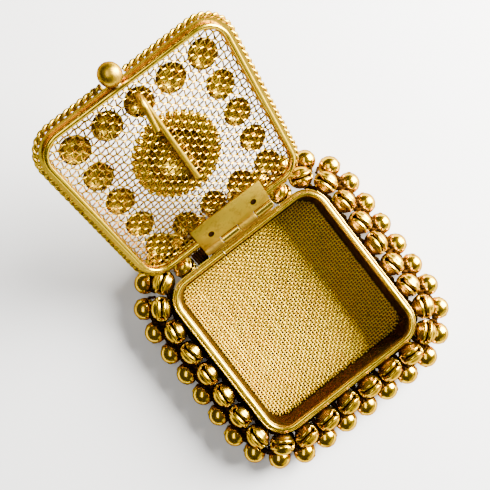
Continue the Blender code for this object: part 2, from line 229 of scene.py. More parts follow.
def brass(name, colour, tarnish, roughness, tarnish_share, stretch=(1, 1, 1), grain=0.15):
    """Metal with broad tone shifts, patchy tarnish, fine scratches and a little waviness, darkened further
    per vertex: tarnish in the bells' hollows, painted shade on the cloths and cups.
    """
    g = Graph(name, 1.0)
    g.shader.inputs["Specular Tint"].default_value = (*EDGE_TINT, 1.0)
    warm = tuple(c * f for c, f in zip(colour, WARM_SHIFT))
    tone = g.noise(TONE_SCALE, detail=3.0)
    base = g.blend(g.remap(tone, 0.35, 0.65, 0.0, 1.0), colour, warm)
    patch = g.noise(TARNISH_SCALE, detail=6.0, roughness=0.65)
    share = g.remap(patch, 0.62 - tarnish_share * 0.35, 0.80 - tarnish_share * 0.2, 0.0, 0.85)
    # per-vertex darkening: tarnish in the bells' hollows, and painted shade under cloth crossings and round
    # the cups
    tarnish_and_shade = g.add("ShaderNodeAttribute", attribute_name="tarnish_and_shade").outputs["Fac"]
    share = g.maths("ADD", share, tarnish_and_shade)
    g.link(g.blend(share, base, tarnish), g.shader.inputs["Base Color"])
    scratches = g.noise(SCRATCH_SCALE, detail=5.0, roughness=0.6, stretch=stretch)
    rough = g.remap(scratches, 0.3, 0.7, roughness * 0.75, roughness * 1.3)
    rough = g.maths("ADD", rough, g.maths("MULTIPLY", share, TARNISH_ROUGHER))
    g.link(rough, g.shader.inputs["Roughness"])
    wavy = g.bump(g.noise(WAVE_SCALE, detail=2.0), 0.25, 0.12 * MM)
    fine = g.bump(scratches, grain, 0.02 * MM, under=wavy)
    g.link(fine, g.shader.inputs["Normal"])
    return g.mat


def make_materials():
    """One brass for each kind of piece: colour, tarnish, roughness and share of tarnish."""
    brown = (0.09, 0.042, 0.008)
    gold = (0.72, 0.50, 0.018)
    return {
        "sheet": brass("sheet_brass", (0.20, 0.120, 0.010), brown, 0.32, 0.45, stretch=(1, 1, 6)),
        # the bottom plate's near-black colour is painted shade, seen through the floor cloth's holes
        "plate": brass("plate_brass_painted_shade", (0.055, 0.030, 0.006), brown, 0.45, 0.02),
        "groove": brass("groove_brass", (0.28, 0.17, 0.012), brown, 0.40, 0.45),
        "rim": brass("rim_brass", gold, brown, 0.22, 0.16, stretch=(0.2, 0.2, 1)),
        "rope": brass("rope_brass", (0.52, 0.345, 0.010), brown, 0.26, 0.38),
        # cords, binding, ties and pellets: real wires, coloured near black so that they also paint in the
        # shade between the wall and the bell rows
        "cord": brass("cord_brass_and_gap_shade", (0.030, 0.013, 0.003), (0.012, 0.005, 0.001), 0.60, 0.50),
        "cloth": brass("cloth_brass", (0.76, 0.55, 0.018), brown, 0.55, 0.06),
        "lid_cloth": brass("lid_cloth_brass", (0.42, 0.26, 0.006), brown, 0.22, 0.34),
        "bell": brass("bell_brass", (0.68, 0.43, 0.006), (0.07, 0.026, 0.003), 0.17, 0.30, grain=0.12),
        "leaf": brass("leaf_brass", (0.48, 0.33, 0.014), brown, 0.40, 0.30, (0.15, 1, 1), grain=0.3),
        "barrel": brass("barrel_brass", (0.86, 0.62, 0.05), brown, 0.18, 0.12, stretch=(1, 0.2, 0.2)),
        "knuckle": brass("knuckle_brass", (0.36, 0.23, 0.02), brown, 0.40, 0.45, stretch=(1, 0.2, 0.2)),
        "boss": brass("boss_brass", (0.66, 0.46, 0.014), brown, 0.24, 0.22),
        "knob": brass("knob_brass", (0.50, 0.32, 0.008), brown, 0.29, 0.45, grain=0.35),
        "clip": brass("clip_brass", (0.48, 0.31, 0.010), brown, 0.34, 0.38, grain=0.3),
        "seam": brass("seam_solder", (0.20, 0.11, 0.010), brown, 0.50, 0.50),
        # near-black discs of painted shade behind the lid leaf's open holes
        "hole_shade": brass("hole_shade", (0.03, 0.012, 0.004), brown, 0.6, 0.10),
        "solder": brass("solder", (0.48, 0.37, 0.13), brown, 0.45, 0.30),
    }


# ---- Mesh building ----
def add_object(name, data):
    """New object in the scene."""
    obj = bpy.data.objects.new(name, data)
    bpy.context.scene.collection.objects.link(obj)
    return obj


class Build:
    """Vertices and faces of one piece, and how dark each vertex is made, from 0 to 1: tarnish in the bells'
    hollows, painted shade on cloth crossings and cups.
    """

    def __init__(self):
        self.verts = []
        self.faces = []
        self.tarnish_and_shade = {}

    def grid(self, rows, wrap_rows=False, wrap_columns=False, flip=False, tarnish_and_shade=None):
        """Surface through equal rows of points; its darkening, for tarnish and for painted shade, has one
        value per row, or one row of values.
        """
        start = len(self.verts)
        count = len(rows[0])
        for r, values in enumerate(tarnish_and_shade or []):
            for c in range(count):
                self.tarnish_and_shade[start + r * count + c] = values[c] if isinstance(values, list) else values
        for row in rows:
            self.verts.extend(row)
        last_row = len(rows) if wrap_rows else len(rows) - 1
        last_column = count if wrap_columns else count - 1
        for r in range(last_row):
            following = (r + 1) % len(rows)
            for c in range(last_column):
                beside = (c + 1) % count
                face = (
                    start + r * count + c, start + r * count + beside,
                    start + following * count + beside, start + following * count + c,
                )
                self.faces.append(face[::-1] if flip else face)
        return start

    def cap(self, start, count, flip=False):
        """Flat face over one row of points."""
        face = tuple(range(start, start + count))
        self.faces.append(face[::-1] if flip else face)

    def tube(self, points, radius, sides=8, closed=False, tarnish_and_shade=None):
        """Round wire, capped unless closed; `radius` is one size or one size per point."""
        count = len(points)
        radii = radius if isinstance(radius, list) else [radius] * count
        rows = []
        side_vector = None
        for i, point in enumerate(points):
            if closed:
                ahead = points[(i + 1) % count] - points[i - 1]
            else:
                ahead = points[min(i + 1, count - 1)] - points[max(i - 1, 0)]
            ahead.normalize()
            if side_vector is None:
                seed = UP if abs(ahead.z) < 0.9 else Vector((1, 0, 0))
                side_vector = ahead.cross(seed).normalized()
            side_vector = (side_vector - ahead * side_vector.dot(ahead)).normalized()
            other = ahead.cross(side_vector)
            row = []
            for s in range(sides):
                angle = math.tau * s / sides
                row.append(point + (side_vector * math.cos(angle) + other * math.sin(angle)) * radii[i])
            rows.append(row)
        start = self.grid(rows, wrap_rows=closed, wrap_columns=True, tarnish_and_shade=tarnish_and_shade)
        if not closed:
            self.cap(start, sides, flip=True)
            self.cap(start + (count - 1) * sides, sides)

    def lathe(self, profile, steps, place=Matrix.Identity(4), tarnish_and_shade=None):
        """Surface turned about the local Z axis from (radius, height) points."""
        rows = []
        for r, z in profile:
            row = []
            for s in range(steps):
                angle = math.tau * s / steps
                row.append(place @ Vector((r * math.cos(angle), r * math.sin(angle), z)))
            rows.append(row)
        self.grid(rows, wrap_columns=True, flip=True, tarnish_and_shade=tarnish_and_shade)

    def ball(self, centre, radius, rings, segments):
        profile = []
        for i in range(rings + 1):
            angle = math.pi * i / rings
            profile.append((max(radius * math.sin(angle), radius * 1e-3), radius * math.cos(angle)))
        self.lathe(profile, segments, Matrix.Translation(centre))

    def finish(self, name, mat, body, nodes=(), slot=None, place=None, sharp=40.0):
        """Makes the piece, moved by `place`, and has it ride on `body` and replace the part's `nodes`."""
        mesh = bpy.data.meshes.new(name)
        mesh.from_pydata([tuple(v) for v in self.verts], [], self.faces)
        if self.tarnish_and_shade:
            depth = mesh.attributes.new("tarnish_and_shade", "FLOAT", "POINT")
            for index, value in self.tarnish_and_shade.items():
                depth.data[index].value = value
        if place is not None:
            mesh.transform(place)
        mesh.validate()
        mesh.materials.append(mat)
        mesh.shade_smooth()
        mesh.set_sharp_from_angle(angle=math.radians(sharp))
        obj = add_object(name, mesh)
        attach(obj, body)
        if nodes:
            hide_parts(*nodes)
        return obj


def outline(out, z, arc_steps=12, side_steps=1):
    """Rounded square `out` beyond the rim line, counterclockwise from the front side's left end."""
    points = []
    radius = CORNER + out
    for turn in range(4):
        spin = Matrix.Rotation(math.radians(90 * turn), 3, "Z")
        for step in range(side_steps):
            x = -CORNER_CENTRE + 2 * CORNER_CENTRE * step / side_steps
            points.append(spin @ Vector((x, -HALF - out, z)))
        for step in range(arc_steps):
            angle = math.radians(-90 + 90 * step / arc_steps)
            points.append(spin @ Vector((
                CORNER_CENTRE + radius * math.cos(angle), -CORNER_CENTRE + radius * math.sin(angle), z
            )))
    return points


def row_point(distance, out):
    """Point and outward normal on the loop `out` beyond the rim line, `distance` from the front's middle."""
    radius = CORNER + out
    quarter = radius * math.pi / 2
    side = 2 * CORNER_CENTRE
    travel = (distance + CORNER_CENTRE) % (4 * (side + quarter))
    turn = int(travel // (side + quarter))
    travel -= turn * (side + quarter)
    spin = Matrix.Rotation(math.radians(90 * turn), 3, "Z")
    if travel <= side:
        point = Vector((travel - CORNER_CENTRE, -HALF - out, 0))
        normal = Vector((0, -1, 0))
    else:
        angle = (travel - side) / radius - math.pi / 2
        normal = Vector((math.cos(angle), math.sin(angle), 0))
        point = Vector((CORNER_CENTRE, -CORNER_CENTRE, 0)) + normal * radius
    return spin @ point, spin @ normal


def loop_length(out):
    """Length of the loop `out` beyond the rim line."""
    return 4 * (2 * CORNER_CENTRE + (CORNER + out) * math.pi / 2)


def ring_band(build, sections):
    """Closed band swept round the box from its (out, z) section."""
    rows = [outline(out, z, side_steps=6) for out, z in sections]
    build.grid(rows, wrap_rows=True, wrap_columns=True)


def plate(build, out, z0, z1):
    """Flat plate of the box's outline."""
    low = outline(out, z0)
    count = len(low)
    start = build.grid([low, outline(out, z1)], wrap_columns=True)
    build.cap(start, count, flip=True)
    build.cap(start + count, count)


def inside_half_width(position, out):
    """Half length of a straight line across the rounded square at `position` from its middle."""
    radius = CORNER + out
    beyond = abs(position) - CORNER_CENTRE
    if beyond <= 0:
        return HALF + out
    if beyond >= radius:
        return 0.0
    return CORNER_CENTRE + math.sqrt(radius * radius - beyond * beyond)


def twisted_wires(build, route, span, twist, turn_steps, swing, radius, sides):
    """Two wires wound round each other, `swing` from their middle, once in every `twist`.

    At each distance in `span`, `route` gives a point and two directions across the run.
    """
    first, last = span
    steps = int((last - first) / twist * turn_steps)
    for phase in (0.0, math.pi):
        points = []
        for step in range(steps + 1):
            distance = first + (last - first) * step / steps
            point, side, other = route(distance)
            angle = math.tau * distance / twist + phase
            points.append(point + (side * math.cos(angle) + other * math.sin(angle)) * swing)
        build.tube(points, radius, sides)


def level_route(out, z):
    """Route for twisted wires round the box, `out` beyond the rim line."""
    def place(distance):
        point, normal = row_point(distance, out)
        return Vector((point.x, point.y, z)), normal, UP
    return place


@dataclass
class Weave:
    """A wire cloth: how it is woven, where shade is painted on it and how its edge is cut."""

    pitches: tuple        # the mesh's steps along x and y
    radius: float
    sides: int            # of a wire's section
    jitter: float         # how far a wire strays from its place
    shown_side: int       # 1 for a cloth that is seen from above, -1 from below
    dip: float            # painted shade where a wire passes under another
    crimp: float = 0.0    # sideways wave that goes with the rise and dip
    turn_up: float = 0.0  # the most that cut ends are bent up


def cloth_wire(weave, z, direction, number, ends, across, slant):
    """Points of a wire that rises over one crossing and dips under the next, and its painted shade at each.
    """
    pitch = weave.pitches[direction]
    first = math.ceil(ends[0] / pitch * 2)
    last = math.floor(ends[1] / pitch * 2)
    points = []
    dips = []
    for half_step in range(first, last + 1):
        along = half_step * pitch / 2
        phase = 1 if (half_step // 2 + number + direction) % 2 == 0 else -1
        lift = phase * weave.radius if half_step % 2 == 0 else 0.0
        drift = across + slant * along + weave.crimp * lift / weave.radius
        # painted shade on each crossing where the wire passes under the other, on the cloth's seen side
        dips.append(weave.dip if lift * weave.shown_side < 0 else 0.0)
        if direction == 0:
            points.append(Vector((along, drift, z + lift)))
        else:
            points.append(Vector((drift, along, z + lift)))
    return points, dips


FLOOR_WEAVE = Weave(
    pitches=(0.97 * MM, 0.87 * MM), radius=0.2 * MM, sides=6, jitter=0.008 * MM,
    shown_side=1, dip=0.35, turn_up=2.6 * MM,
)
LID_WEAVE = Weave(
    pitches=(1.56 * MM, 1.56 * MM), radius=0.235 * MM, sides=8, jitter=0.06 * MM,
    shown_side=-1, dip=0.6, crimp=0.30 * MM,
)


def wire_cloth(build, out, z, weave):
    """Plain weave cut to the rounded square `out` beyond the rim line."""
    for direction in (0, 1):
        spacing = weave.pitches[1 - direction]
        count = int((HALF + out) / spacing)
        for number in range(-count, count + 1):
            across = number * spacing + random.uniform(-weave.jitter, weave.jitter)
            reach = inside_half_width(across, out)
            if reach < weave.pitches[direction]:
                continue
            low = -reach - random.uniform(-RAGGED, RAGGED)
            high = reach + random.uniform(-RAGGED, RAGGED)
            slant = random.uniform(-weave.jitter, weave.jitter) / reach
            points, dips = cloth_wire(weave, z, direction, number, (low, high), across, slant)
            if weave.turn_up > 0:
                rise = UP * weave.turn_up * random.uniform(0.35, 1.0)
                points = [points[0] + rise] + points + [points[-1] + rise]
                dips = [0.0] + dips + [0.0]
            build.tube(points, weave.radius, weave.sides, tarnish_and_shade=dips)


# ---- Bells ----
UPPER_STRETCH = 1.10
BELL_WALL = 0.32 * MM
SLOT_HALF = 0.30 * MM
SLOT_EYE = 0.78 * MM                 # radius of the round hole at each end of a slot
SLOT_SPAN = math.radians(66)         # how far a slot reaches from its middle
NECK_FROM_SLOT = 1.62 * MM           # the groove beside a slot's raised lip
# most darkening: tarnish in the bells' hollows, and painted shade at the cups' rims
DARKEST_TARNISH_AND_SHADE = 0.9
PELLET = 0.9 * MM
PELLET_CLEAR = 0.1 * MM
CORD_TWIST = 2.6 * MM
BINDING = 1.3 * MM
BINDING_TWIST = 5.0 * MM
BINDING_OUT = 3.0 * MM
BINDING_BELOW_BELLS = 4.45 * MM
BINDING_PAST_CORNER = 0.6
TIE = 0.8 * MM
TIE_PLACES = [gap * BELL_PITCH for gap in range(-12, 13)]


def slot_half_width(tilt):
    """Half width of the slot at `tilt` from its middle: narrow, with a round eye at each end."""
    past = abs(tilt)
    if past >= SLOT_SPAN:
        return 0.0
    eye_centre = SLOT_SPAN - SLOT_EYE / BELL
    from_eye = (past - eye_centre) * BELL
    eye = math.sqrt(max(0.0, SLOT_EYE * SLOT_EYE - from_eye * from_eye))
    return max(eye, SLOT_HALF if past < eye_centre else 0.0)


def hump(distance, centre, width):
    """1 at `centre`, fading away over `width`."""
    return math.exp(-(((distance - centre) / width) ** 2))


def lip_relief(away):
    """How much a slotted bell's wall stands out beside its slot: turned in, then raised, then necked."""
    turned_in = 0.13 * hump(away, 0.0, 0.28 * MM)
    raised = 0.06 * hump(away, 0.72 * MM, 0.42 * MM)
    necked = 0.075 * hump(away, NECK_FROM_SLOT, 0.40 * MM)
    return raised - turned_in - necked


def lip_tarnish(away):
    """How dark a slotted bell is beside its slot: on the very edge, and in the groove past the lip."""
    return DARKEST_TARNISH_AND_SHADE * min(1.0, hump(away, NECK_FROM_SLOT, 0.34 * MM) + hump(away, 0.0, 0.22 * MM))


def bell_shell(build, place, stretch):
    """Hollow slotted bell. Local Z points out of the slot, which runs along local Y, as the stretch does."""
    rings = 26
    segments = 34
    outer = []
    inner = []
    dark = []
    steepest = math.pi / 2 - 0.04
    for r in range(rings + 1):
        tilt = max(min(math.pi * (r / rings - 0.5), steepest), -steepest)
        ring_radius = BELL * math.cos(tilt)
        opening = min(0.9, slot_half_width(tilt) / ring_radius)
        edge = max(math.asin(opening), 0.002)
        slotted = min(1.0, opening * 8)
        rows = [], []
        dark.append([])
        for s in range(segments + 1):
            turn = edge + (math.tau - 2 * edge) * (0.5 - 0.5 * math.cos(math.pi * s / segments))
            away = min(turn - edge, math.tau - edge - turn) * ring_radius
            relief = 1.0 + slotted * lip_relief(away)
            dark[-1].append(slotted * lip_tarnish(away))
            for row, radius in zip(rows, (BELL * relief, (BELL - BELL_WALL) * relief)):
                flat = radius * math.cos(tilt)
                along = radius * math.sin(tilt) * stretch
                row.append(place @ Vector((flat * math.sin(turn), along, flat * math.cos(turn))))
        outer.append(rows[0])
        inner.append(rows[1])
    build.grid(outer, tarnish_and_shade=dark)
    build.grid(inner, flip=True, tarnish_and_shade=[DARKEST_TARNISH_AND_SHADE] * (rings + 1))
    for column in (0, -1):
        edge_rows = [[o[column], i[column]] for o, i in zip(outer, inner)]
        build.grid(edge_rows, flip=column == 0)


def bell_place(distance, upper):
    """Centre of a bell, the outward normal there and the bell's stretch along the row."""
    out = UPPER_OUT if upper else LOWER_OUT
    z = UPPER_Z if upper else LOWER_Z
    stretch = UPPER_STRETCH if upper else 1.0
    point, normal = row_point(distance, out)
    if upper and point.y > HALF and abs(point.x) < CORNER_CENTRE:
        point -= normal * HINGE_BELL_TUCK
        z -= HINGE_BELL_DROP
        stretch = 1.0
    return Vector((point.x, point.y, z)), normal, stretch


def bell_frame(centre, slot_out, along, turn):
    """Matrix that points the slot `slot_out`, runs it `along` and turns it a little about that."""
    z = slot_out.normalized()
    y = (along - z * along.dot(z)).normalized()
    x = y.cross(z)
    rotation = Matrix((x, y, z)).transposed().to_4x4()
    return Matrix.Translation(centre) @ rotation @ Matrix.Rotation(turn, 4, "Z")


def towards_other_row(normal, upper):
    """Direction across a row, from its bells to the other row's."""
    slope = ROW_SLOPE.normalized() * (1 if upper else -1)
    return normal * slope.x + UP * slope.y


def cord_route(upper):
    """Route for the twisted wires of a row's cord."""
    def place(distance):
        centre, normal, _ = bell_place(distance, upper)
        link = towards_other_row(normal, upper)
        return centre + link * BELL_GRIP, link, link.cross(UP.cross(normal))
    return place


def bell_string(name, distances, upper, mats):
    """Hollow bells with pellets, bound side by side to one cord of two twisted wires."""
    shells = Build()
    pellets = Build()
    for distance in distances:
        centre, normal, stretch = bell_place(distance, upper)
        link = towards_other_row(normal, upper)
        along = UP.cross(normal)
        if stretch > 1.0:
            facing = (UP - link * random.uniform(-0.05, 0.3)).normalized()
            turn = random.uniform(-0.22, 0.22)
        else:
            facing = -link
            turn = random.uniform(-0.4, 0.4)
        lean = normal * random.uniform(-0.12, 0.12) + along * random.uniform(-0.12, 0.12)
        bell_shell(shells, bell_frame(centre, facing + lean, along, turn), stretch)
        pellets.ball(centre - UP * (BELL - BELL_WALL - PELLET - PELLET_CLEAR), PELLET, 8, 12)
    string = Build()
    span = (distances[0], distances[-1])
    twisted_wires(string, cord_route(upper), span, CORD_TWIST, 9, STRING_CORD * 0.48, STRING_CORD * 0.52, 7)
    shells.finish(name + ".shells", mats["bell"], "box", [name], "brass_bell", sharp=50)
    string.finish(name + ".string", mats["cord"], "box", slot="brass_bell")
    pellets.finish(name + ".pellets", mats["cord"], "box", slot="brass_bell")


def tie_ends(distance):
    """Points on the upper and the lower row's cord where a tie runs, and the rows' direction there."""
    centre, normal, _ = bell_place(distance, True)
    link = towards_other_row(normal, True)
    upper_cord = centre + link * BELL_GRIP
    lower_cord = centre + link * (ROW_SLOPE.length - BELL_GRIP)
    return upper_cord, lower_cord, UP.cross(normal)


def wall_binding(mats):
    """Two wires twisted together round the wall, tied to the upper row's cord between each two bells."""
    corner = (CORNER + BINDING_OUT) * math.pi / 2
    reach = 3 * CORNER_CENTRE + (1 + BINDING_PAST_CORNER) * corner
    route = level_route(BINDING_OUT, UPPER_Z - BINDING_BELOW_BELLS)
    binding = Build()
    twisted_wires(binding, route, (-reach, reach), BINDING_TWIST, 10, BINDING / 2, BINDING / 2, 8)
    for distance in TIE_PLACES:
        if abs(distance) < reach:
            start, _, _ = route(distance)
            upper_cord, _, _ = tie_ends(distance)
            binding.tube([start, upper_cord], TIE, 8)
    binding.finish("wall_binding.twist", mats["cord"], "box", ["wall_binding"], "brass_bell", sharp=60)


def row_ties(mats):
    """Two thin wires from the upper row's cord to the lower row's, between each two upper bells."""
    ties = Build()
    for distance in TIE_PLACES:
        upper_cord, lower_cord, along = tie_ends(distance)
        for side in (-1, 1):
            aside = along * side * TIE
            ties.tube([upper_cord + aside, lower_cord + aside * 1.6], TIE * 0.6, 7)
    ties.finish("row_ties.wire", mats["cord"], "box", slot="brass_bell", sharp=60)


def binding_end_shade_wrap(mats):
    """The binding's end, wound with wire, between the last bell on the left and the hinge leaf; near black,
    it also paints in the shade of that gap.
    """
    length = 3.6 * MM
    core_radius = 1.5 * MM
    winding_radius = 1.9 * MM
    turns = 4
    turn_steps = 14
    # a dark knot placed so that it also fills the shadowed gap beside the hinge with painted shade
    start = Vector((HINGE_X - HINGE_LENGTH / 2 - 4.0 * MM, HALF + 3.4 * MM, UPPER_Z - 1.8 * MM))
    wrap = Build()
    wrap.tube([start + Vector((length * step / 4, 0, 0)) for step in range(5)], core_radius, 10)
    winding = []
    for step in range(turns * turn_steps + 1):
        angle = math.tau * step / turn_steps
        swing = Vector((0, math.cos(angle), math.sin(angle))) * winding_radius
        winding.append(start + Vector((length * step / (turns * turn_steps), 0, 0)) + swing)
    wrap.tube(winding, 0.5 * MM, 8)
    wrap.finish("binding_end_shade_wrap", mats["cord"], "box", slot="brass_bell", sharp=60)


def bell_strings(mats):
    """Two rows of bells, numbered from the front's middle: the upper one stops at the hinge."""
    upper = {
        "upper_bells_front": range(-4, 4),
        "upper_bells_right": range(4, 11),
        "upper_bells_left": range(-11, -4),
        "upper_bells_rear_right": range(11, 13),
        "upper_bells_rear_left": range(-13, -11),
    }
    for name, places in upper.items():
        bell_string(name, [(i + 0.5) * BELL_PITCH for i in places], True, mats)
    pitch = loop_length(LOWER_OUT) / LOWER_COUNT
    lower = {
        "lower_bells_front": range(-3, 4),
        "lower_bells_right": range(4, 13),
        "lower_bells_rear": range(13, 22),
        "lower_bells_left": range(22, 31),
    }
    for name, places in lower.items():
        bell_string(name, [i * pitch for i in places], False, mats)


# ---- Box ----
def box_panels(mats):
    """Bottom plate and wall, whose top edge is rounded over."""
    bottom = Build()
    plate(bottom, plate_high.x - HALF, plate_low.z, plate_high.z)
    bottom.finish("bottom_plate.sheet", mats["plate"], "box", ["bottom_plate"], "brass_sheet")

    wall = Build()
    round_over = 0.15 * MM
    ring_band(wall, [
        (0.0, wall_low.z), (0.0, wall_high.z - round_over), (-round_over, wall_high.z),
        (-WALL + round_over, wall_high.z), (-WALL, wall_high.z - round_over), (-WALL, wall_low.z),
    ])
    wall.finish("box_wall.sheet", mats["sheet"], "box", ["box_wall"], "brass_sheet")


def rim_ledge(mats):
    """Flat strip outside the rim wire, with a slightly uneven rolled lip along its outer edge."""
    ledge = Build()
    lip = 0.24 * MM
    groove_z = ledge_high.z - 0.2 * MM
    lip_out = ledge_high.x - HALF - lip
    ring_band(ledge, [(GAP, ledge_low.z), (lip_out, ledge_low.z), (lip_out, groove_z), (GAP, groove_z)])
    ledge.finish("rim_ledge.strip", mats["groove"], "box", ["rim_ledge"], "brass_sheet")

    edge = Build()
    edge_loop = []
    for point in outline(lip_out, groove_z + lip * 0.6, 14, 12):
        wander = Vector((point.x, point.y, 0)).normalized() * random.uniform(-0.06, 0.06) * MM
        edge_loop.append(point + wander)
    edge.tube(edge_loop, lip, 10, closed=True)
    edge.finish("rim_ledge.lip", mats["rim"], "box", slot="brass_sheet", sharp=60)


def frame_loop(z):
    """Round wire bent to the rim line, a hair thinner than the part's faceted one."""
    loop = Build()
    loop.tube(outline(0.0, z, 14, 10), RIM_WIRE * 0.99, 20, closed=True)
    return loop


def box_pieces(mats):
    """Panels, ledge, rim wire and floor cloth."""
    box_panels(mats)
    rim_ledge(mats)
    frame_loop(RIM_Z).finish("rim_wire.round", mats["rim"], "box", ["rim_wire"], "brass_bright")
    cloth = Build()
    wire_cloth(cloth, -WALL - GAP, (floor_low.z + floor_high.z) / 2, FLOOR_WEAVE)
    cloth.finish("floor_mesh.cloth", mats["cloth"], "box", ["floor_mesh"], "brass_mesh")


# ---- Hinge ----
ALONG_HINGE = Matrix.Rotation(math.pi / 2, 4, "Y")
PIN_PLAY = 0.07 * MM
ON_AXIS = 1e-6                       # radius at which a turned profile counts as closed


def knuckle_span(index):
    """Where one of the hinge's knuckles starts and ends along X."""
    length = HINGE_LENGTH / KNUCKLES
    left = HINGE_X - HINGE_LENGTH / 2
    start = left + index * length + (GAP / 2 if index > 0 else 0.0)
    end = left + (index + 1) * length - (GAP / 2 if index < KNUCKLES - 1 else 0.0)
    return start, end


def applied(obj, kind, **settings):
    """Runs one modifier and keeps its result as the object's mesh."""
    step = obj.modifiers.new(kind, kind)
    for key, value in settings.items():
        setattr(step, key, value)
    evaluated = obj.evaluated_get(bpy.context.evaluated_depsgraph_get())
    mesh = bpy.data.meshes.new_from_object(evaluated)
    obj.modifiers.clear()
    obj.data = mesh


def leaf_outline(owned):
    """(x, reach from the pin) round a leaf, notched for the other leaf's knuckles."""
    left = HINGE_X - HINGE_LENGTH / 2
    points = [(left, LEAF_WIDTH)]
    for index in range(KNUCKLES):
        start, end = knuckle_span(index)
        reach = BARREL * 0.75
        if index not in owned:
            reach = BARREL + GAP
            start -= GAP if index > 0 else 0.0
            end += GAP if index < KNUCKLES - 1 else 0.0
        points += [(start, reach), (end, reach)]
    points.append((left + HINGE_LENGTH, LEAF_WIDTH))
    return points


def leaf_holes(to_leaf):
    """Helper object for cutting a leaf's two holes."""
    rods = Build()
    through = (to_leaf(0, 0, 1) - to_leaf(0, 0, 0)).to_track_quat("Z", "Y").to_matrix().to_4x4()
    for side in (-1, 1):
        middle = to_leaf(HINGE_X + side * LEAF_HOLE_SPACING / 2, LEAF_HOLE_REACH, LEAF_THICK / 2)
        profile = [(1e-7, MM), (LEAF_HOLE, MM), (LEAF_HOLE, -MM), (1e-7, -MM)]
        rods.lathe(profile, 28, Matrix.Translation(middle) @ through)
    mesh = bpy.data.meshes.new("holes")
    mesh.from_pydata([tuple(v) for v in rods.verts], [], rods.faces)
    return add_object("holes", mesh)


def leaf_plate(name, owned, to_leaf, place, mat, body):
    """Stamped leaf with two holes and softened edges.

    `to_leaf` maps (x, reach from the pin, thickness) to a point of the closed box.
    """
    leaf = Build()
    low = [to_leaf(x, reach, 0.0) for x, reach in leaf_outline(owned)]
    high = [to_leaf(x, reach, LEAF_THICK) for x, reach in leaf_outline(owned)]
    count = len(low)
    start = leaf.grid([low, high], wrap_columns=True)
    leaf.cap(start, count, flip=True)
    leaf.cap(start + count, count)
    cutter = leaf_holes(to_leaf)
    obj = leaf.finish(name + ".plate", mat, body, [name], "brass_leaf", None, 30)
    applied(obj, "BOOLEAN", operation="DIFFERENCE", object=cutter, solver="EXACT")
    bpy.data.objects.remove(cutter)
    applied(obj, "BEVEL", width=0.09 * MM, segments=2, limit_method="ANGLE", angle_limit=math.radians(50))
    if place is not None:
        obj.data.transform(place)
    obj.data.shade_smooth()
    obj.data.set_sharp_from_angle(angle=math.radians(35))


def knuckles(name, owned, place, mat, body):
    """Rolled knuckles with a small chamfer at each end."""
    rolls = Build()
    chamfer = 0.12 * MM
    bore = PIN + PIN_PLAY
    for index in owned:
        start, end = knuckle_span(index)
        turn = Matrix.Translation((start, AXIS_Y, AXIS_Z)) @ ALONG_HINGE
        length = end - start
        rolls.lathe([
            (bore, length), (BARREL - chamfer, length), (BARREL, length - chamfer),
            (BARREL, chamfer), (BARREL - chamfer, 0.0), (bore, 0.0), (bore, length),
        ], 32, turn)
    rolls.finish(name + ".knuckles", mat, body, slot="brass_leaf", place=place, sharp=30)


def box_leaf_point(x, reach, thick):
    """The box's leaf hangs down behind the rear wall, against the barrel's inner side."""
    return Vector((x, AXIS_Y - BARREL + thick, AXIS_Z - reach))


def lid_leaf_point(x, reach, thick):
    """The lid's leaf runs forwards, level with the pin."""
    return Vector((x, AXIS_Y - reach, LEAF_BOTTOM + thick))


def hinge_pin(mats):
    """Pin with chamfered ends."""
    pin = Build()
    chamfer = 0.08 * MM
    half = HINGE_LENGTH / 2
    pin.lathe([
        (ON_AXIS, half), (PIN - chamfer, half), (PIN, half - chamfer),
        (PIN, chamfer - half), (PIN - chamfer, -half), (ON_AXIS, -half),
    ], 20, Matrix.Translation((HINGE_X, AXIS_Y, AXIS_Z)) @ ALONG_HINGE)
    pin.finish("hinge_pin.rod", mats["barrel"], "box", ["hinge_pin"], "brass_leaf")


def hinge_solder_seam(mats):
    """Uneven bead of solder between the rim's ledge and the box's leaf."""
    seam = Build()
    middle_y = (ledge_high.y + AXIS_Y - BARREL) / 2
    length = HINGE_LENGTH - 2 * MM
    steps = 40
    points = []
    sizes = []
    for step in range(steps + 1):
        x = HINGE_X + length * (step / steps - 0.5)
        points.append(Vector((x, middle_y + random.uniform(-0.05, 0.05) * MM, ledge_high.z - 0.1 * MM)))
        taper = min(1.0, 0.3 + min(step, steps - step) / 3)
        sizes.append((0.36 + random.uniform(0, 0.16)) * MM * taper)
    seam.tube(points, sizes, 10)
    seam.finish("hinge_solder_seam", mats["seam"], "box", slot="brass_bright", sharp=80)


def hinge_pieces(mats):
    """Pin, both leaves with their knuckles, and the solder that holds the box's leaf."""
    hinge_pin(mats)
    leaf_plate("box_hinge_leaf", (1, 3), box_leaf_point, None, mats["leaf"], "box")
    knuckles("box_hinge_leaf", (1, 3), None, mats["barrel"], "box")
    leaf_plate("lid_hinge_leaf", (0, 2), lid_leaf_point, OPEN_LID, mats["leaf"], "lid")
    knuckles("lid_hinge_leaf", (0, 2), OPEN_LID, mats["knuckle"], "lid")
    hinge_solder_seam(mats)


# ---- Solder, and painted shade behind the leaf's holes ----
def blob(build, centre, radius, flatten=(1, 1, 0.6)):
    """Small uneven lump: solder, and, flattened, the discs of painted shade behind the lid leaf's holes."""
    rings = 8
    segments = 14
    rows = []
    bumps = [random.uniform(0.88, 1.1) for _ in range(segments)]
    for r in range(rings + 1):
        angle = max(math.pi * r / rings, 0.01)
        row = []
        for k in range(segments):
            around = math.tau * k / segments
            size = radius * (1 + (bumps[k] - 1) * math.sin(angle))
            row.append(centre + Vector((
                size * math.sin(angle) * math.cos(around) * flatten[0],
                size * math.sin(angle) * math.sin(around) * flatten[1],
                size * math.cos(angle) * flatten[2],
            )))
        rows.append(row)
    build.grid(rows, wrap_columns=True, flip=True)


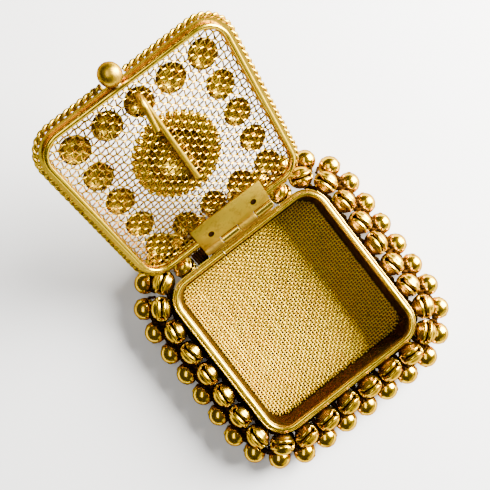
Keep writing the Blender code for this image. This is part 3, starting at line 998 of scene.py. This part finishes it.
def lid_solder_spots(mats):
    """Lumps where the frame wire, the knob and the clip are joined, and flat near-black discs of painted
    shade behind the leaf's open holes.
    """
    spots = Build()
    joint_z = LID_Z + 0.3 * RIM_WIRE
    for side, y, size in ((1, 4.9, 0.85), (-1, 0.6, 0.8), (-1, -2.5, 0.65)):
        blob(spots, Vector((side * HALF, y * MM, joint_z)), size * MM, (0.9, 1.5, 0.9))
    corner = HALF - 1.9 * MM
    blob(spots, Vector((corner, -corner, joint_z)), 0.95 * MM)
    blob(spots, Vector((KNOB_X, -HALF - 0.95 * MM, LID_Z)), 0.8 * MM, (1.3, 0.8, 1.0))
    blob(spots, Vector((CLIP_X, 0.3 * MM, LID_MESH_Z - 0.2 * MM)), 0.8 * MM, (1.3, 0.9, 0.6))
    lid_finish(spots, "lid_solder_spots", mats["solder"], slot="brass_bright", sharp=80)
    # painted shade: near-black discs where the leaf's open holes look into shadow
    hole_shade = Build()
    for side in (-1, 1):
        hole = lid_leaf_point(HINGE_X + side * LEAF_HOLE_SPACING / 2, LEAF_HOLE_REACH, LEAF_THICK)
        blob(hole_shade, hole, LEAF_HOLE * 1.5, (1, 1, 0.12))
    lid_finish(hole_shade, "lid_hole_shade_spots", mats["hole_shade"], slot="brass_bright", sharp=80)


def box_solder_spots(mats):
    """A lump at the rim wire's joint and small beads along the ledge, none behind the hinge."""
    box = Build()
    blob(box, Vector((-6.4 * MM, HALF, RIM_Z + 0.1 * RIM_WIRE)), 0.78 * MM, (0.5, 1.0, 1.0))
    beads = 26
    spacing = loop_length(1.3 * MM) / beads
    for i in range(beads):
        point, _ = row_point(spacing * (i + random.uniform(-0.3, 0.3)), 1.35 * MM)
        behind_hinge = point.y > HALF and abs(point.x - HINGE_X) < HINGE_LENGTH / 2 + MM
        if not behind_hinge:
            blob(box, Vector((point.x, point.y, ledge_high.z)), random.uniform(0.22, 0.4) * MM)
    box.finish("box_solder_spots", mats["solder"], "box", slot="brass_bright", sharp=80)


# ---- Lid ----
def lid_finish(build, name, mat, nodes=(), slot=None, sharp=40.0):
    """Finishes a piece that was shaped at the closed lid."""
    return build.finish(name, mat, "lid", nodes, slot, OPEN_LID, sharp)


def twisted_rope(mats):
    """Two wires twisted loosely round the lid, whose ends meet behind the knob."""
    clear = KNOB + GAP
    span = (KNOB_X + clear, loop_length(ROPE_OUT) + KNOB_X - clear)
    rope = Build()
    twisted_wires(rope, level_route(ROPE_OUT, ROPE_Z), span, ROPE_TWIST, 14, ROPE_SWING, ROPE_STRAND, 8)
    lid_finish(rope, "rope_border.twist", mats["rope"], ["rope_border"], "brass_bright", sharp=60)


def cap_profile(radius, height, thick, steps):
    """Open dome shell from its outer top round its lip to its inner top."""
    sphere = (radius * radius + height * height) / (2 * height)
    rim_angle = math.asin(radius / sphere)
    outer = []
    inner = []
    for step in range(steps + 1):
        angle = max(rim_angle * step / steps, 0.002)
        outer.append((sphere * math.sin(angle), sphere * math.cos(angle) - sphere + height))
        inner.append((
            (sphere - thick) * math.sin(angle),
            max((sphere - thick) * math.cos(angle) - sphere + height, 0.0),
        ))
    return outer + inner[::-1]


def cup_painted_shade(profile, radius, steps):
    """Painted shade round a cup: little in its middle, darker towards its rim and more on its left side, away
    from the key light.
    """
    left_painted_shade = 0.45
    rows = []
    for r, _ in profile:
        outwards = r / radius
        towards_rim = DARKEST_TARNISH_AND_SHADE * min(1.0, outwards ** 3)
        rows.append([])
        for step in range(steps):
            leftness = (1 - math.cos(math.tau * step / steps)) / 2
            rows[-1].append(min(1.0, towards_rim + left_painted_shade * outwards * leftness))
    return rows


def boss_places():
    """Centres of the cups: five along each side of a square, corners shared."""
    reach = (BOSSES_PER_SIDE - 1) / 2
    places = []
    for turn in range(4):
        spin = Matrix.Rotation(math.radians(90 * turn), 3, "Z")
        for index in range(BOSSES_PER_SIDE - 1):
            places.append(spin @ Vector(((index - reach) * BOSS_PITCH, -reach * BOSS_PITCH, LID_TOP)))
    return places


def petal(turn):
    """Rows of points round one petal, narrow at the dome and rounded outside."""
    steps = 10
    sides = 10
    rows = []
    for step in range(steps + 1):
        angle = math.pi * step / steps
        radial = COLLAR + COLLAR_WIDTH * math.cos(angle)
        share = max(math.sin(angle), 0.02)
        room = math.pi * radial / PETALS
        half_width = min(room * 0.97, COLLAR_HEIGHT * 1.25) * share ** 0.6
        rows.append([])
        for side in range(sides):
            around = math.tau * side / sides
            height = COLLAR_HEIGHT * (1 + share * math.sin(around))
            rows[-1].append(turn @ Vector((radial, half_width * math.cos(around), LID_TOP + height)))
    return rows


def petal_collar(mats):
    """Radial petals on a thin ring that joins them."""
    collar = Build()
    for i in range(PETALS):
        collar.grid(petal(Matrix.Rotation(math.tau * i / PETALS, 4, "Z")), wrap_columns=True)
    inner = DOME - 0.2 * MM
    outer = COLLAR + 0.2 * COLLAR_WIDTH
    low = LID_TOP + 0.1 * MM
    high = LID_TOP + 0.5 * MM
    collar.lathe([(inner, low), (outer, low), (outer, high), (inner, high), (inner, low)], 72)
    lid_finish(collar, "petal_collar.petals", mats["boss"], ["petal_collar"], "brass_sheet", sharp=80)


def cup(node, mat, size, steps, place):
    """Hollow stamping; `size` is its radius and height, `steps` its steps from top to lip and all round."""
    shell = Build()
    profile = cap_profile(*size, SHELL, steps[0])
    # painted shade on the cup's inside: darker at the rim and on the left, away from the key light
    shell.lathe(profile, steps[1], Matrix.Translation(place), cup_painted_shade(profile, size[0], steps[1]))
    lid_finish(shell, node + ".shell", mat, [node], "brass_sheet")


def lid_panel(mats):
    """Frame wire, flat ledge and wire cloth."""
    lid_finish(frame_loop(LID_Z), "lid_frame_wire.round", mats["rim"], ["lid_frame_wire"], "brass_bright")
    ledge = Build()
    ledge_top = LID_LEDGE_Z + LID_LEDGE_THICK
    ring_band(ledge, [
        (-LID_LEDGE_IN, LID_LEDGE_Z), (LID_LEDGE_OUT, LID_LEDGE_Z),
        (LID_LEDGE_OUT, ledge_top), (-LID_LEDGE_IN, ledge_top),
    ])
    lid_finish(ledge, "lid_ledge.strip", mats["rim"], ["lid_ledge"], "brass_sheet")
    cloth = Build()
    wire_cloth(cloth, -GAP, LID_MESH_Z + LID_MESH_THICK / 2, LID_WEAVE)
    lid_finish(cloth, "lid_mesh.cloth", mats["lid_cloth"], ["lid_mesh"], "brass_mesh")


def lid_pieces(mats):
    """Panel, rope, dome and cups, knob and clip."""
    lid_panel(mats)
    twisted_rope(mats)
    cup("centre_dome", mats["boss"], (DOME, DOME_HEIGHT), (14, 56), (0, 0, LID_TOP))
    petal_collar(mats)
    for number, place in enumerate(boss_places(), start=1):
        cup(f"cup_boss_{number:02d}", mats["boss"], (BOSS, BOSS_HEIGHT), (8, 32), place)
    knob = Build()
    knob.ball(Vector((KNOB_X, -HALF - KNOB_OUT, LID_Z)), KNOB, 24, 40)
    lid_finish(knob, "knob_ball.round", mats["knob"], ["knob_ball"], "brass_bright")
    clip_pieces(mats)


def clip_pieces(mats):
    """Bent wire with a long limb along the mesh and a short free one, and the bead beside its bend."""
    upper_z = LID_MESH_Z - GAP - CLIP_WIRE
    points = []
    long_steps = 10
    for step in range(long_steps):
        y = CLIP_BACK + (CLIP_FRONT - CLIP_BACK) * step / long_steps
        points.append(Vector((CLIP_X, y, upper_z)))
    bend_steps = 12
    for step in range(bend_steps + 1):
        angle = math.pi * step / bend_steps
        y = CLIP_FRONT - CLIP_BEND * math.sin(angle)
        z = upper_z - CLIP_BEND * (1 - math.cos(angle))
        points.append(Vector((CLIP_X * (1 - step / bend_steps), y, z)))
    points.append(Vector((-CLIP_X, CLIP_TIP, points[-1].z - CLIP_WIRE / 4)))
    clip = Build()
    clip.tube(points, CLIP_WIRE, 14)
    lid_finish(clip, "inner_clip.wire", mats["clip"], ["inner_clip"], "brass_bright")

    bead = Build()
    centre = Vector((CLIP_BEAD_X, CLIP_FRONT, LID_MESH_Z - GAP - CLIP_BEAD))
    bead.ball(centre, CLIP_BEAD, 14, 20)
    lid_finish(bead, "clip_bead.round", mats["clip"], ["clip_bead"], "brass_bright")


# ---- Surroundings ----
CAMERA_ABOVE_RIM = 194.1 * MM
CAMERA_X = -5.88 * MM
CAMERA_Y = 27.03 * MM
CAMERA_TURN = math.radians(-37.65)
CAMERA_ROLL = math.radians(-1.68)
CAMERA_TILT = math.radians(0.72)
LENS = 46.65
SENSOR = 36                          # mm, as the lens is
FLOOR_REACH = 3.0
SOFT_WHITE = (1.0, 0.98, 0.95)
KEY_PLACE = (0.56, -0.03, 0.26)
FILL_PLACE = (0.10, -0.50, 0.15)


def camera():
    """Camera nearly straight above the box, turned as in the photo."""
    data = bpy.data.cameras.new("camera")
    data.lens = LENS
    data.sensor_width = SENSOR
    data.clip_start = 5 * MM
    obj = add_object("camera", data)
    obj.location = (CAMERA_X, CAMERA_Y, RIM_Z + CAMERA_ABOVE_RIM)
    turn = Matrix.Rotation(CAMERA_TURN, 4, "Z")
    lean = Matrix.Rotation(CAMERA_ROLL, 4, "Y") @ Matrix.Rotation(CAMERA_TILT, 4, "X")
    obj.rotation_euler = (turn @ lean).to_euler()
    bpy.context.scene.camera = obj


def area_light(name, place, turn, size, power):
    """Rectangular soft light."""
    data = bpy.data.lights.new(name, "AREA")
    data.shape = "RECTANGLE"
    data.size = size[0]
    data.size_y = size[1]
    data.energy = power
    data.color = SOFT_WHITE
    obj = add_object(name, data)
    obj.location = place
    obj.rotation_euler = turn


def aimed(place, target):
    """Turn that points a light at `place` towards `target`."""
    return (Vector(target) - Vector(place)).to_track_quat("-Z", "Y").to_euler()


def floor_card():
    """Plain pale card that the box stands on."""
    g = Graph("floor_card", 0.0)
    tone = g.remap(g.noise(40, detail=5.0), 0.3, 0.7, 0.86, 0.90)
    g.link(g.blend(tone, (0.60, 0.60, 0.60), (0.72, 0.72, 0.715)), g.shader.inputs["Base Color"])
    g.shader.inputs["Roughness"].default_value = 0.7
    corners = [(x * FLOOR_REACH, y * FLOOR_REACH, 0) for x, y in ((-1, -1), (1, -1), (1, 1), (-1, 1))]
    floor = bpy.data.meshes.new("floor")
    floor.from_pydata(corners, [], [(0, 1, 2, 3)])
    floor.materials.append(g.mat)
    obj = add_object("floor", floor)
    obj.location.z = -0.02 * MM


def studio_light():
    """A big key light from the right, a weak fill from the front and a soft panel over the lid."""
    world = bpy.data.worlds.new("studio")
    world.use_nodes = True
    background = world.node_tree.nodes["Background"]
    background.inputs["Color"].default_value = (1.0, 0.97, 0.93, 1.0)
    background.inputs["Strength"].default_value = 0.09
    bpy.context.scene.world = world
    area_light("key", KEY_PLACE, aimed(KEY_PLACE, (0, 0.02, 0)), (0.44, 0.50), 74.0)
    area_light("fill", FILL_PLACE, aimed(FILL_PLACE, (0, 0, 0.02)), (0.50, 0.30), 0.5)
    panel_place = Matrix.Rotation(CAMERA_TURN, 4, "Z") @ Vector((-0.18, 0.0, 0.60))
    area_light("panel", panel_place, (0, 0, CAMERA_TURN), (0.20, 0.56), 2.2)


mats = make_materials()
box_pieces(mats)
bell_strings(mats)
wall_binding(mats)
row_ties(mats)
binding_end_shade_wrap(mats)
hinge_pieces(mats)
lid_pieces(mats)
lid_solder_spots(mats)
box_solder_spots(mats)
floor_card()
studio_light()
camera()
